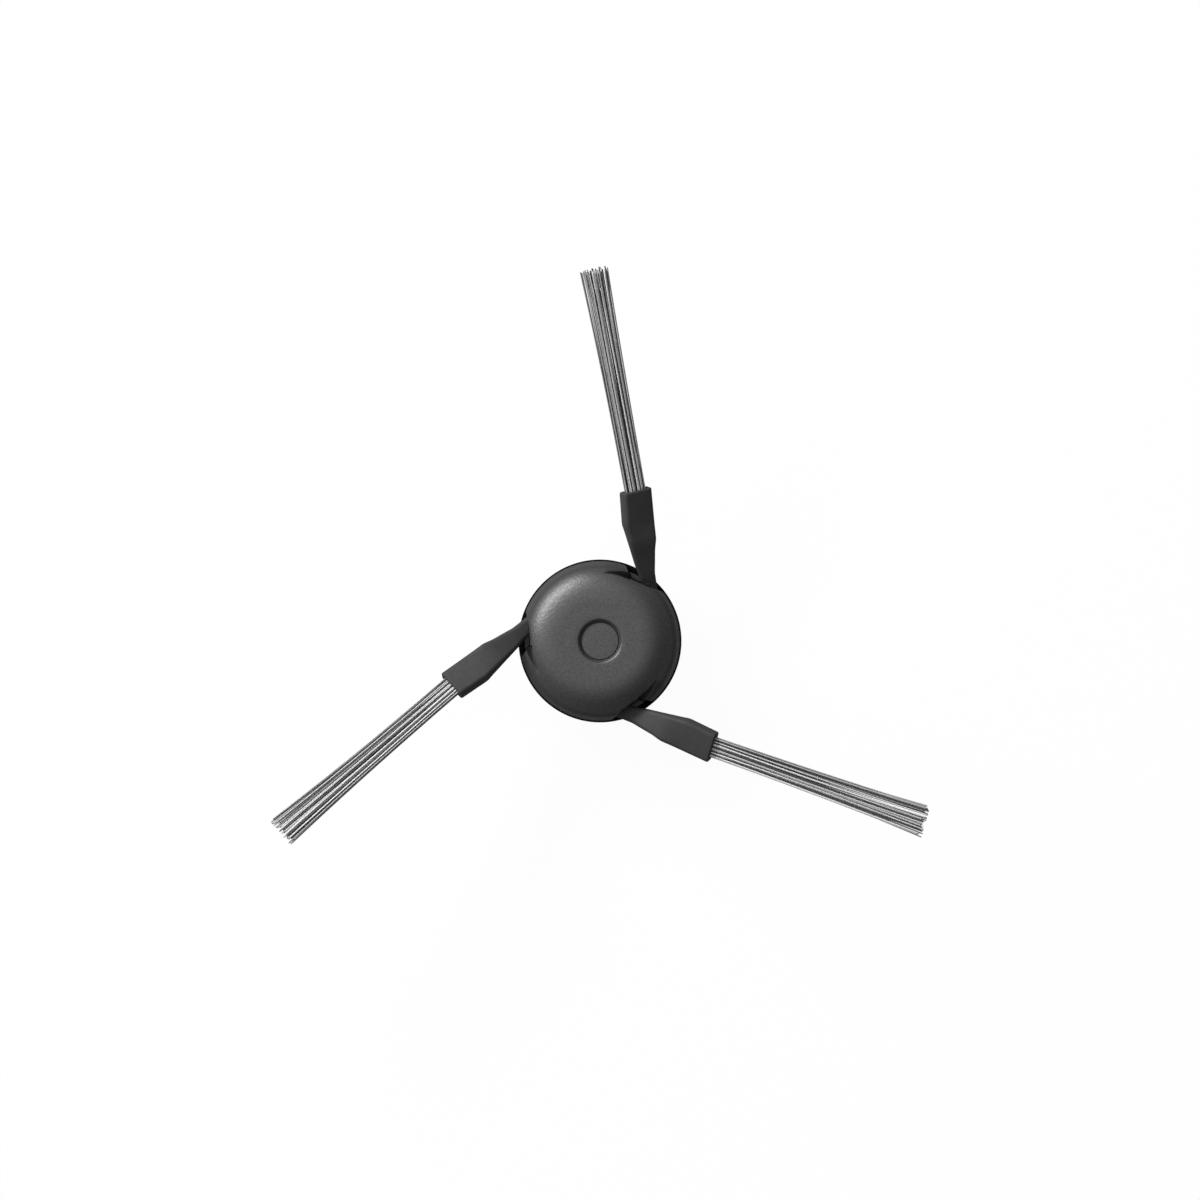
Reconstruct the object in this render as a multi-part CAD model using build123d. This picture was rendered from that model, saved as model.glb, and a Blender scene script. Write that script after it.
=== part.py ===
from build123d import *
import os
from math import atan2, cos, degrees, radians, sin, sqrt, tan

# Robot vacuum side brush: a domed hub that carries three swept rubber arms, each with a flat tuft of nylon
# bristles. It stands on the end of its drive boss with the cap up, so the arms and bristles rise outwards.
# Origin on the hub axis at the end of the boss, +Z up through the cap, millimetres and degrees.

# Hub
HUB_DIAMETER = 35.0
ARM_COUNT = 3
FIT_CLEARANCE = 0.15

# Drive base: boss with a square snap socket, ribbed flange, and saddles that hold the arm roots
BOSS_DIAMETER = 13.0
BOSS_HEIGHT = 6.0
FLANGE_THICKNESS = 1.3
SADDLE_HEIGHT = 3.9
SADDLE_WALL = 1.2
SOCKET_WIDTH = 7.6
SOCKET_CORNER_RADIUS = 1.2
SOCKET_DEPTH = 6.2
SNAP_SLOT_WIDTH = 0.9
SNAP_SLOT_DEPTH = 4.2
SNAP_FINGER_WIDTH = 3.6
SNAP_RIDGE_HEIGHT = 0.4
SNAP_RIDGE_LEVEL = 1.9
RIB_COUNT = 6
RIB_THICKNESS = 1.0
RIB_DROP = 3.6
RIB_RIM_MARGIN = 1.6

# Cap: a flat crown, a wide shoulder and a tighter edge, both turned in bands, and a steep side; stakes join it
# to the base
CAP_WALL = 1.3
CROWN_THICKNESS = 2.4
SHOULDER_WIDTH = 8.8
SHOULDER_SLOPE = 45.0
SHOULDER_BANDS = 4
EDGE_RADIUS = 3.7
EDGE_BANDS = 3
SIDE_HEIGHT = 3.4
SIDE_SLOPE = 80.0
STAKE_AZIMUTH = 95.0
STAKE_INSET = 6.3
STAKE_THICKNESS = 1.6
STAKE_WIDTH = 3.0
STAKE_END_RECESS = 0.3

# Cap: windows and hoods over the arms, with a scooped ledge beside each window
WINDOW_AZIMUTH = 65.0
HOOD_INSET = 2.5
WINDOW_LEADING_SIDE = 7.95
WINDOW_TRAILING_SIDE = 0.4
WINDOW_TRAILING_SLANT = 46.5
LEDGE_WIDTH = 2.7
LEDGE_DEPTH = 1.2
LEDGE_SLOPE = 40.0
LEDGE_FALL = 11.0
LEDGE_SPAN = 11.0

# Cap: tapered recess in the crown and the plug that makes its floor
RECESS_DIAMETER = 9.4
RECESS_DEPTH = 0.6
PLUG_DIAMETER = 7.9
PLUG_THICKNESS = 0.8

# Arms: each follows a straight line in plan that passes inside the hub's rim; reaches count from the rim
ARM_HEADING = 99.0
ARM_INSET = 5.35
NECK_RISE = 26.0
ARM_RISE = 12.0
ARM_EDGE_CHAMFER = 0.65
ROOT_DEPTH = 10.0
ROOT_BAR_THICKNESS = 2.2
ROOT_BAR_INNER_SIDE = 4.4
ROOT_BAR_OUTER_SIDE = 1.2
ROOT_FLOOR_THICKNESS = 1.3
COLLAR_DEPTH = 1.2
COLLAR_LEADING_SIDE = 4.5
COLLAR_HEIGHT = 3.2
NECK_REACH = 0.4
NECK_WIDTH = 3.44
NECK_THICKNESS = 2.8
FLARE_REACH = 7.2
FLARE_WIDTH = 5.8
FLARE_THICKNESS = 3.0
FLARE_ROLL = 11.0
FLARE_SIDE = -0.08
PADDLE_REACH = 11.3
PADDLE_LENGTH = 6.9
PADDLE_WIDTH = 6.75
PADDLE_THICKNESS = 3.2
PADDLE_ROLL = 21.0
PADDLE_START_SIDE = 0.15
PADDLE_END_SIDE = -0.33

# Tufts: rows of filaments that leave a root bead inside the paddle and fan out to uneven tips
TUFT_HEADING = 1.6
TUFT_LENGTH = 49.0
TUFT_UNEVENNESS = 1.2
TRIM_STEP = 0.618
TUFT_ROOT_WIDTH = 4.9
TUFT_ROOT_THICKNESS = 1.3
TUFT_TIP_WIDTHS = (6.3, 7.6, 7.4)
TUFT_TIP_THICKNESS = 2.0
FILAMENT_WIDTH = 0.25
FILAMENT_ROWS = 4
FILAMENTS_PER_ROW = 12
BEAD_LENGTH = 6.0
BEAD_MARGIN = 0.15
BEAD_RECESS = 0.6
BEAD_GRIP = 1.5

# Sizes that follow from the driving dimensions
HUB_RADIUS = HUB_DIAMETER / 2
CROWN_RADIUS = HUB_RADIUS - SHOULDER_WIDTH
HOOD_DISTANCE = HUB_RADIUS - HOOD_INSET
LEDGE_RADIUS = HUB_RADIUS - LEDGE_WIDTH
ARM_OFFSET = HUB_RADIUS - ARM_INSET
EDGE_WIDTH = EDGE_RADIUS * (sin(radians(SIDE_SLOPE)) - sin(radians(SHOULDER_SLOPE)))
EDGE_DROP = EDGE_RADIUS * (cos(radians(SHOULDER_SLOPE)) - cos(radians(SIDE_SLOPE)))
SHOULDER_END = HUB_RADIUS - SIDE_HEIGHT / tan(radians(SIDE_SLOPE)) - EDGE_WIDTH
SHOULDER_RADIUS = (SHOULDER_END - CROWN_RADIUS) / sin(radians(SHOULDER_SLOPE))
SHOULDER_DROP = SHOULDER_RADIUS * (1 - cos(radians(SHOULDER_SLOPE)))
FLANGE_TOP = BOSS_HEIGHT + FLANGE_THICKNESS
SADDLE_TOP = FLANGE_TOP + SADDLE_HEIGHT
CAP_TOP = FLANGE_TOP + SIDE_HEIGHT + EDGE_DROP + SHOULDER_DROP
ROOT_FLOOR = FLANGE_TOP + ROOT_FLOOR_THICKNESS
ROOT_TOP = ROOT_FLOOR + NECK_THICKNESS
ROOT_CENTRE = (ROOT_FLOOR + ROOT_TOP) / 2
RIM_STATION = sqrt(HUB_RADIUS**2 - ARM_OFFSET**2)
ROOT_BAR_STATION = RIM_STATION - ROOT_DEPTH
NECK_STATION = RIM_STATION + NECK_REACH
FLARE_STATION = RIM_STATION + FLARE_REACH
PADDLE_STATION = RIM_STATION + PADDLE_REACH
PADDLE_END_STATION = PADDLE_STATION + PADDLE_LENGTH
OPEN_AIR = 2 * HUB_DIAMETER

ARM_PLACE = Rot(0, 0, ARM_HEADING) * Pos(0, -ARM_OFFSET, 0)
STAKE_PLACE = Rot(0, 0, STAKE_AZIMUTH) * Pos(HUB_RADIUS - STAKE_INSET, 0, 0)
WINDOW_PLACE = Rot(0, 0, WINDOW_AZIMUTH)


def around(place, count=ARM_COUNT):
    """Copies of a place, turned evenly about the hub axis."""
    return [Rot(0, 0, index * 360 / count) * place for index in range(count)]


def upright(outline, bottom, top):
    """A plan outline raised from one level to another."""
    return Pos(0, 0, bottom) * extrude(outline, top - bottom)


def side_rectangle(first, last, outer_side, inner_side):
    """Rectangle between two stations of an arm and between its two sides, in the arm's own frame."""
    place = Pos((first + last) / 2, (inner_side - outer_side) / 2)
    return place * Rectangle(last - first, inner_side + outer_side)


def root_outline(clearance):
    """Plan of an arm's root: a straight neck that ends in a cross bar."""
    bar_end = ROOT_BAR_STATION + ROOT_BAR_THICKNESS
    half_neck = NECK_WIDTH / 2 + clearance
    neck = side_rectangle(ROOT_BAR_STATION, NECK_STATION, half_neck, half_neck)
    bar = side_rectangle(
        ROOT_BAR_STATION - clearance,
        bar_end + clearance,
        ROOT_BAR_OUTER_SIDE + clearance,
        ROOT_BAR_INNER_SIDE + clearance,
    )
    return neck + bar


def saddle_outline():
    """Plan of the block that holds an arm's root, with a wall round the root's cross bar."""
    wall = SADDLE_WALL + FIT_CLEARANCE
    return side_rectangle(
        ROOT_BAR_STATION - wall, NECK_STATION, NECK_WIDTH / 2 + wall, ROOT_BAR_INNER_SIDE + wall
    )


def window_outline(leading_side, depth, clearance):
    """Plan outside a hood, up to the window's slanted side, in a frame where X points out across the hood."""
    near = HOOD_DISTANCE + clearance
    far = HOOD_DISTANCE + depth
    slant = radians(WINDOW_TRAILING_SLANT)
    trailing = clearance * (tan(slant) - 1 / cos(slant)) - WINDOW_TRAILING_SIDE
    far_trailing = trailing + (far - near) * tan(slant)
    outline = Polyline(
        (near, -leading_side), (far, -leading_side), (far, far_trailing), (near, trailing), close=True
    )
    return make_face(outline)


def cavity_corners(clearance):
    """Corners of the half section of the room inside the cap, or of what fits it with a clearance."""
    foot = HUB_RADIUS - (CAP_WALL + clearance) / sin(radians(SIDE_SLOPE))
    inner_bend = SHOULDER_RADIUS - CAP_WALL - clearance
    ceiling_rise = SHOULDER_RADIUS - CROWN_THICKNESS - clearance
    ceiling_radius = CROWN_RADIUS + sqrt(inner_bend**2 - ceiling_rise**2)
    return [(foot, FLANGE_TOP), (ceiling_radius, CAP_TOP - CROWN_THICKNESS - clearance)]


def cavity_fill(clearance):
    """The solid that fills the room inside the cap, less a clearance."""
    corners = cavity_corners(clearance)
    section = Polyline((0, FLANGE_TOP), *corners, (0, corners[-1][1]), close=True)
    return revolve(Plane.XZ * make_face(section), Axis.Z)


def arc_points(start, bend, first_slope, last_slope, bands):
    """Points of an arc in the cap's half section, from a start point, where its slope goes from first to last."""
    slopes = [radians(first_slope + (last_slope - first_slope) * band / bands) for band in range(bands + 1)]
    first = slopes[0]
    return [
        (start[0] + bend * (sin(slope) - sin(first)), start[1] - bend * (cos(first) - cos(slope)))
        for slope in slopes
    ]


def cap_section():
    """Half section of the cap: crown, shoulder, edge and side outside, a slant inside, and the plug's seat."""
    seat_top = CAP_TOP - RECESS_DEPTH
    seat_floor = seat_top - PLUG_THICKNESS
    seat_radius = PLUG_DIAMETER / 2 + FIT_CLEARANCE
    ceiling = CAP_TOP - CROWN_THICKNESS
    shoulder = arc_points((CROWN_RADIUS, CAP_TOP), SHOULDER_RADIUS, 0, SHOULDER_SLOPE, SHOULDER_BANDS)
    edge = arc_points(shoulder[-1], EDGE_RADIUS, SHOULDER_SLOPE, SIDE_SLOPE, EDGE_BANDS)
    outline = Polyline(
        *shoulder,
        *edge[1:],
        (HUB_RADIUS, FLANGE_TOP),
        *cavity_corners(0),
        (0, ceiling),
        (0, seat_floor),
        (seat_radius, seat_floor),
        (seat_radius, seat_top),
        (RECESS_DIAMETER / 2, CAP_TOP),
        close=True,
    )
    return make_face(outline)


def ledge_cutter():
    """What the scooped ledge takes away: all above a slanted plane, outside a round wall."""
    reach = LEDGE_RADIUS - CROWN_RADIUS
    surface = CAP_TOP - SHOULDER_RADIUS + sqrt(SHOULDER_RADIUS**2 - reach**2)
    azimuth = WINDOW_AZIMUTH - degrees(atan2(WINDOW_TRAILING_SIDE, HOOD_DISTANCE))
    corner = Rot(0, 0, azimuth) * Pos(LEDGE_RADIUS, 0, surface - LEDGE_DEPTH)
    slant = Rot(0, LEDGE_SLOPE, 0) * Rot(-LEDGE_FALL, 0, 0)
    block = Box(HUB_DIAMETER, LEDGE_SPAN, HUB_RADIUS, align=(Align.CENTER, Align.MIN, Align.MIN))
    return corner * slant * block - Cylinder(LEDGE_RADIUS, OPEN_AIR)


def hub_cap():
    """Domed cap: a shell with arm windows, ledges and a plug recess, and stakes that reach into the base."""
    cap = revolve(Plane.XZ * cap_section(), Axis.Z)
    window = upright(window_outline(WINDOW_LEADING_SIDE, HUB_RADIUS, 0), 0, OPEN_AIR)
    passage = upright(root_outline(FIT_CLEARANCE), 0, ROOT_TOP + FIT_CLEARANCE)
    ledge = ledge_cutter()
    for turn in around(Rot(0, 0, 0)):
        cap -= turn * WINDOW_PLACE * window
        cap -= turn * ARM_PLACE * passage
        cap -= turn * ledge
    stake = upright(
        Rectangle(STAKE_THICKNESS, STAKE_WIDTH), BOSS_HEIGHT + STAKE_END_RECESS, CAP_TOP - CROWN_THICKNESS / 2
    )
    return cap + [place * stake for place in around(STAKE_PLACE)]


def centre_plug():
    """Round plug that makes the floor of the crown's recess."""
    top = CAP_TOP - RECESS_DEPTH
    return upright(Circle(PLUG_DIAMETER / 2), top - PLUG_THICKNESS, top)


def snap_socket():
    """What the drive shaft's socket takes away: a rounded square with slots that free two sprung fingers."""
    square = RectangleRounded(SOCKET_WIDTH, SOCKET_WIDTH, SOCKET_CORNER_RADIUS)
    socket = upright(square, 0, SOCKET_DEPTH)
    ridge = Pos(0, 0, SNAP_RIDGE_LEVEL) * Rot(90, 0, 0) * Cylinder(SNAP_RIDGE_HEIGHT, SNAP_FINGER_WIDTH)
    for side in (-SOCKET_WIDTH / 2, SOCKET_WIDTH / 2):
        socket -= Pos(side, 0, 0) * ridge
    slot = upright(Rectangle(BOSS_DIAMETER, SNAP_SLOT_WIDTH), 0, SNAP_SLOT_DEPTH)
    slot_side = (SNAP_FINGER_WIDTH + SNAP_SLOT_WIDTH) / 2
    for side in (-slot_side, slot_side):
        socket += Pos(0, side, 0) * slot
    return socket


def drive_base():
    """Lower moulding: ribbed flange, drive boss, and a saddle with a pocket for each arm's root."""
    base = upright(Circle(HUB_RADIUS), BOSS_HEIGHT, FLANGE_TOP)
    base += upright(Circle(BOSS_DIAMETER / 2), 0, BOSS_HEIGHT)

    room = cavity_fill(FIT_CLEARANCE)
    window = upright(window_outline(WINDOW_LEADING_SIDE, HUB_RADIUS, 0), FLANGE_TOP, SADDLE_TOP)
    saddle = ARM_PLACE * upright(saddle_outline(), FLANGE_TOP, SADDLE_TOP) & room
    saddle -= WINDOW_PLACE * window
    base += [turn * saddle for turn in around(Rot(0, 0, 0))]

    rib_end = HUB_RADIUS - RIB_RIM_MARGIN
    rib_outline = Polyline((0, BOSS_HEIGHT), (rib_end, BOSS_HEIGHT), (0, BOSS_HEIGHT - RIB_DROP), close=True)
    rib = extrude(Plane.XZ * make_face(rib_outline), RIB_THICKNESS / 2, both=True)
    base += [place * rib for place in around(Rot(0, 0, 0), RIB_COUNT)]

    pocket = upright(root_outline(FIT_CLEARANCE), ROOT_FLOOR, OPEN_AIR)
    hole = Rectangle(STAKE_THICKNESS + 2 * FIT_CLEARANCE, STAKE_WIDTH + 2 * FIT_CLEARANCE)
    stake_hole = upright(hole, 0, OPEN_AIR)
    for turn in around(Rot(0, 0, 0)):
        base -= turn * ARM_PLACE * pocket
        base -= turn * STAKE_PLACE * stake_hole
    return base - snap_socket()


def arm_level(station):
    """Height of an arm's centre line: level in the hub, steep from its neck to its flare, then flatter."""
    climb = min(max(0, station - NECK_STATION), FLARE_STATION - NECK_STATION)
    beyond = max(0, station - FLARE_STATION)
    return ROOT_CENTRE + climb * tan(radians(NECK_RISE)) + beyond * tan(radians(ARM_RISE))


def arm_section(station, side, tilt, roll, width, thickness):
    """Section across an arm with bevelled edges, tilted with its rise and rolled leading edge down."""
    place = Pos(station, side, arm_level(station)) * Rot(0, -tilt, 0) * Rot(roll, 0, 0)
    outline = chamfer(Rectangle(width, thickness).vertices(), ARM_EDGE_CHAMFER)
    return place * (Plane.YZ * outline)


TUFT_PLACE = (
    Pos(PADDLE_END_STATION, PADDLE_END_SIDE, arm_level(PADDLE_END_STATION))
    * Rot(0, 0, TUFT_HEADING)
    * Rot(0, -ARM_RISE, 0)
    * Rot(PADDLE_ROLL, 0, 0)
)


def bead_solid(clearance, front):
    """Bead that the filaments are fused into, in the tuft's frame, up to a front plane."""
    back = -BEAD_RECESS - BEAD_LENGTH - clearance
    width = TUFT_ROOT_WIDTH + 2 * (BEAD_MARGIN + clearance)
    thickness = TUFT_ROOT_THICKNESS + 2 * (BEAD_MARGIN + clearance)
    return Pos(back, 0, 0) * extrude(Plane.YZ * Rectangle(width, thickness), front - back)


def arm():
    """Rubber arm in its own frame: cross bar, neck, flare that twists to a paddle, and the tuft's pocket."""
    flare_tilt = (NECK_RISE + ARM_RISE) / 2
    paddle = (ARM_RISE, PADDLE_ROLL, PADDLE_WIDTH, PADDLE_THICKNESS)
    sections = [
        arm_section(NECK_STATION, 0, 0, 0, NECK_WIDTH, NECK_THICKNESS),
        arm_section(FLARE_STATION, FLARE_SIDE, flare_tilt, FLARE_ROLL, FLARE_WIDTH, FLARE_THICKNESS),
        arm_section(PADDLE_STATION, PADDLE_START_SIDE, *paddle),
        arm_section(PADDLE_END_STATION, PADDLE_END_SIDE, *paddle),
    ]
    bar_end = ROOT_BAR_STATION + ROOT_BAR_THICKNESS
    bar = side_rectangle(ROOT_BAR_STATION, bar_end, ROOT_BAR_OUTER_SIDE, ROOT_BAR_INNER_SIDE)
    body = loft(sections, ruled=True)
    body += extrude(sections[0], ROOT_BAR_STATION - NECK_STATION)
    body += upright(bar, ROOT_FLOOR, ROOT_TOP)
    return body - TUFT_PLACE * bead_solid(FIT_CLEARANCE, PADDLE_THICKNESS)


def root_collar():
    """Block beside an arm's neck that stands on the flange and fills the window's corner outside the hood."""
    outline = window_outline(COLLAR_LEADING_SIDE, COLLAR_DEPTH, FIT_CLEARANCE)
    return WINDOW_PLACE * upright(outline, FLANGE_TOP, FLANGE_TOP + COLLAR_HEIGHT)


def filament(root, tip):
    """Straight square filament from its root to its cut tip."""
    run = Vector(tip) - Vector(root)
    section = Plane(origin=root, z_dir=run) * Rectangle(FILAMENT_WIDTH, FILAMENT_WIDTH)
    return extrude(section, run.length)


def bristle_tuft(tip_width):
    """Flat tuft in the arm's frame: staggered rows of filaments that fan out from a fused bead."""
    tuft = bead_solid(0, -BEAD_RECESS)
    root_width = TUFT_ROOT_WIDTH - FILAMENT_WIDTH
    root_thickness = TUFT_ROOT_THICKNESS - FILAMENT_WIDTH
    fan = (tip_width - FILAMENT_WIDTH) / root_width
    swell = (TUFT_TIP_THICKNESS - FILAMENT_WIDTH) / root_thickness
    filaments = []
    for row in range(FILAMENT_ROWS):
        across_thickness = root_thickness * (row / (FILAMENT_ROWS - 1) - 0.5)
        for place in range(FILAMENTS_PER_ROW):
            share = (place + row % 2 / 2) / (FILAMENTS_PER_ROW - 0.5)
            across_width = root_width * (share - 0.5)
            trim = TUFT_UNEVENNESS * (len(filaments) * TRIM_STEP % 1)
            root = (-BEAD_RECESS - BEAD_GRIP, across_width, across_thickness)
            tip = (TUFT_LENGTH - trim, across_width * fan, across_thickness * swell)
            filaments.append(filament(root, tip))
    return TUFT_PLACE * (tuft + filaments)


def write(name, solid):
    """One STEP file for each piece, named after it."""
    solid.label = name
    export_step(solid, os.path.join("parts", name + ".step"))


def main():
    os.makedirs("parts", exist_ok=True)
    write("hub_cap", hub_cap())
    write("centre_plug", centre_plug())
    write("drive_base", drive_base())
    whole_arm = ARM_PLACE * arm() + root_collar()
    for index, turn in enumerate(around(Rot(0, 0, 0))):
        write(f"arm_{index + 1}", turn * whole_arm)
        tip_width = TUFT_TIP_WIDTHS[index % len(TUFT_TIP_WIDTHS)]
        write(f"bristle_tuft_{index + 1}", turn * ARM_PLACE * bristle_tuft(tip_width))


if __name__ == "__main__":
    main()
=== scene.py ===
import math
from collections import namedtuple

import bpy
import numpy as np
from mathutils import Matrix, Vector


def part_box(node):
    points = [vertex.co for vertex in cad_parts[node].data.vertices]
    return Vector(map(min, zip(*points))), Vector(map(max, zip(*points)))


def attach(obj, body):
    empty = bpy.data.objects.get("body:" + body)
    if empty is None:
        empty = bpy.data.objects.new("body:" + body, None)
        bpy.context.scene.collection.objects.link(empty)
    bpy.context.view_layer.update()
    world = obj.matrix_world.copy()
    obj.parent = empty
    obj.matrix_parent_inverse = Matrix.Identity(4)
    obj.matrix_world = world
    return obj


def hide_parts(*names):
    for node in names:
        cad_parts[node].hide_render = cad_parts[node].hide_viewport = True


bl_info = {
    "name": "Robot vacuum side brush",
    "version": (1, 0, 0),
    "blender": (4, 5, 0),
    "location": "View3D > Sidebar > Side brush",
    "description": "Finished surfaces, materials and stage for a three-armed side brush",
    "category": "Object",
}

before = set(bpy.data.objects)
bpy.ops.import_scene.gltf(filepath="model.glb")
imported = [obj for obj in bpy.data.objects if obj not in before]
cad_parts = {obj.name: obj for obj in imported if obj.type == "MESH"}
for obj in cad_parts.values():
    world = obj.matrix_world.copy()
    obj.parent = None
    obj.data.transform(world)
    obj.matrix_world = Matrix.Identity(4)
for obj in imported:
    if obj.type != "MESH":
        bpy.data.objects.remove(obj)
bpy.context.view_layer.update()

MM = 0.001
TINY = 1e-6
ARM_COUNT = 3
SHARP_EDGE = math.radians(38)
SHARP_TIP = math.radians(75)

# Radii and levels that come from the solids
# The cap's rim stands in from the flange's edge, so that a thin ring of the near-black base shows round it: a
# dark outline that is partly painted shade.
RIM_SETBACK = 0.3 * MM
FLANGE_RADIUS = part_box("drive_base")[1].x
RIM_RADIUS = FLANGE_RADIUS - RIM_SETBACK
FLANGE_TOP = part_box("arm_1")[0].z
CAP_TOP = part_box("hub_cap")[1].z
PLUG_BOTTOM, PLUG_TOP = (corner.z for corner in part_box("centre_plug"))
PLUG_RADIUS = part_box("centre_plug")[1].x

# Points along each stretch of the cap's edge in plan, and how often its corners are softened
LEADING_POINTS, HOOD_POINTS, SLANT_POINTS, RIM_POINTS = 30, 42, 28, 120
SOFTENING_ROUNDS = 3
RIM_MARGIN = 0.05 * MM
HOOD_BLEND = math.radians(3)

# Rings of the cap's dome: over the shoulder, down the crease's wall, and crowding towards the edge
SHOULDER_RINGS, WALL_RINGS, EDGE_RINGS = 36, 4, 40
EDGE_CROWDING = 1.4

# Ledges: width of the wall at their crease, how the groove fades along them, and how matt they are
CREASE_WALL = 0.25 * MM
GROOVE_FADE = 1.5
LEDGE_MATT = 0.85
MATT_FADE = 0.2

# Recess: its lip as steps out from its radius and down from the crown, the edges of seat and plug
RECESS_LIP = ((-0.25 * MM, 0.28 * MM), (-0.08 * MM, 0.13 * MM), (0.08 * MM, 0.04 * MM), (0.24 * MM, 0.0))
SEAT_EDGE = 0.05 * MM
PLUG_EDGE = 0.14 * MM
PLUG_SIDES = 128
PLUG_EDGE_STEPS = 6
FLAT_RING = 0.4
CROWN_RING = 0.7

# Inside of the cap: its ceiling, its thinned edge, and the arched passage for each arm
CEILING_INSET = 4.2 * MM
CEILING_WALL = 0.8 * MM
THIN_EDGE = 0.8 * MM
PASSAGE_SWING = math.radians(-17)
PASSAGE_HALF_SWING = math.radians(9.5)
PASSAGE_HEIGHT = 3.2 * MM
PASSAGE_POWER = 6

# Stations along an arm, from its root in the hub to its end
ARM_ROOT = 2.6 * MM
WINDOW_STATION = 9.0 * MM
NECK_END = 10.0 * MM
ROLL_START = 13.0 * MM
FLARE = 19.8 * MM
PADDLE_START = 23.9 * MM
ARM_END = 30.8 * MM

# Where an arm's outline bends in plan, in millimetres: station, leading side, trailing side
ARM_PLAN = np.array(
    [
        (0.0, -1.72, 1.72),
        (13.0, -1.80, 1.77),
        (14.8, -2.12, 2.26),
        (17.9, -2.63, 2.71),
        (19.8, -3.19, 2.98),
        (22.5, -3.31, 3.37),
        (23.95, -3.40, 3.64),
        (30.8, -3.84, 3.06),
        (40.0, -4.44, 2.29),
    ]
)

# An arm's line and section: rings in and out of the hub, softening of its bends, and the slot's edges
HIDDEN_RINGS, SEEN_RINGS = 6, 72
NECK_LEVEL = FLANGE_TOP + 1.23 * MM
FLARE_ROLL = 0.52
PADDLE_END_SIDE = -0.33 * MM
SIDE_SOFTENING = 0.5 * MM
LINE_SOFTENING = 1.0 * MM
LINE_LENGTH = 40.0 * MM
LINE_SAMPLES = 400
SLOT_LIP = 0.12 * MM
SLOT_CORNER = 0.3 * MM
END_STEPS = 6

# Upright blocks: the bar across an arm's root, and the rounding of bar and collar
ROOT_BAR_ALONG = (ARM_ROOT, 4.8 * MM)
ROOT_BAR_ACROSS = (-1.2 * MM, 4.4 * MM)
ROOT_BAR_LEVELS = (FLANGE_TOP + 1.3 * MM, FLANGE_TOP + 4.1 * MM)
BLOCK_EDGE = 0.2 * MM
BLOCK_EDGE_STEPS = 5

# Tufts: widths at their tips, how far they go into the paddle, and how unlike each other filaments are
TUFT_TIP_WIDTHS = (6.3 * MM, 7.6 * MM, 7.4 * MM)
TUFT_GRIP = 1.5 * MM
FAN_POWER = 2.2
FILAMENT_STEPS, FILAMENT_SIDES = 12, 6
THICKNESS_RANGE = (0.85, 1.1)
PLACE_JITTER = 0.2
TIP_DRIFT_ACROSS, TIP_DRIFT_DEEP = 0.03, 0.08

# Tones of the filaments: places between dark columns painted as the shaded gaps between filaments, ranges of
# tone, and the painted shade that depth and the outer sides give them
SHADE_COLUMN_SPACINGS = [2, 3]
PAINTED_SHADE_RANGE = (0, 0.06)
PALE_RANGE = (0.7, 1)
MIDDLE_TONE, DEPTH_SHADE, SIDE_SHADE = 0.8, 0.4, 0.5

# Finishes: the satin skin's fade on steep surfaces and in the grain, mottle, reliefs and floor
SKIN_IOR = 1.8
SKIN_FADE = (0.62, 0.93)
SKIN_ON_STEEP = 0.07
SKIN_GRAIN = (0.3, 0.7)
SKIN_IN_PITS = 0.6
MOTTLE_SIZE = 160
ROUGHNESS_SPREAD = 0.06
GRAIN_DEPTH = 0.05 * MM
LEATHER_SIZE = 2200
LEATHER_DEPTH = 0.04 * MM
FLOOR_GLOW = 0.96
FLOOR_TONE = 0.5

# Lights: direction in degrees, height and width in metres, and power in watts
LIGHT_DISTANCE = 1.2
KEY_LIGHT = {"shape": "RECTANGLE", "azimuth": 136, "elevation": 24, "size": (0.2, 1.1), "watts": 19.2}
OVERHEAD_LIGHT = {"shape": "ELLIPSE", "azimuth": 136, "elevation": 66, "size": (2.86, 2.86), "watts": 14.2}

CapPlan = namedtuple("CapPlan", "heading distance swing on_rim")
ArmCourse = namedtuple("ArmCourse", "along middle level tilt roll half_width half_thickness")


def length(name, description, millimetres):
    """A property for a size, given in millimetres and kept in metres."""
    return bpy.props.FloatProperty(
        name=name,
        description=description,
        default=millimetres * MM,
        subtype="DISTANCE",
        unit="LENGTH",
        precision=5,
    )


def angle(name, description, degrees):
    """A property for an angle, given in degrees and kept in radians."""
    return bpy.props.FloatProperty(
        name=name, description=description, default=math.radians(degrees), subtype="ANGLE", unit="ROTATION"
    )


def colour(name, description, value):
    """A property for a plain grey or colour, in linear light."""
    return bpy.props.FloatVectorProperty(
        name=name, description=description, default=value, size=3, min=0, max=1, subtype="COLOR"
    )


def share(name, description, value):
    """A property for a number between nothing and all."""
    return bpy.props.FloatProperty(
        name=name, description=description, default=value, min=0, max=1, subtype="FACTOR"
    )


def count(name, description, value, least=0):
    """A property for a whole number."""
    return bpy.props.IntProperty(name=name, description=description, default=value, min=least)


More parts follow.
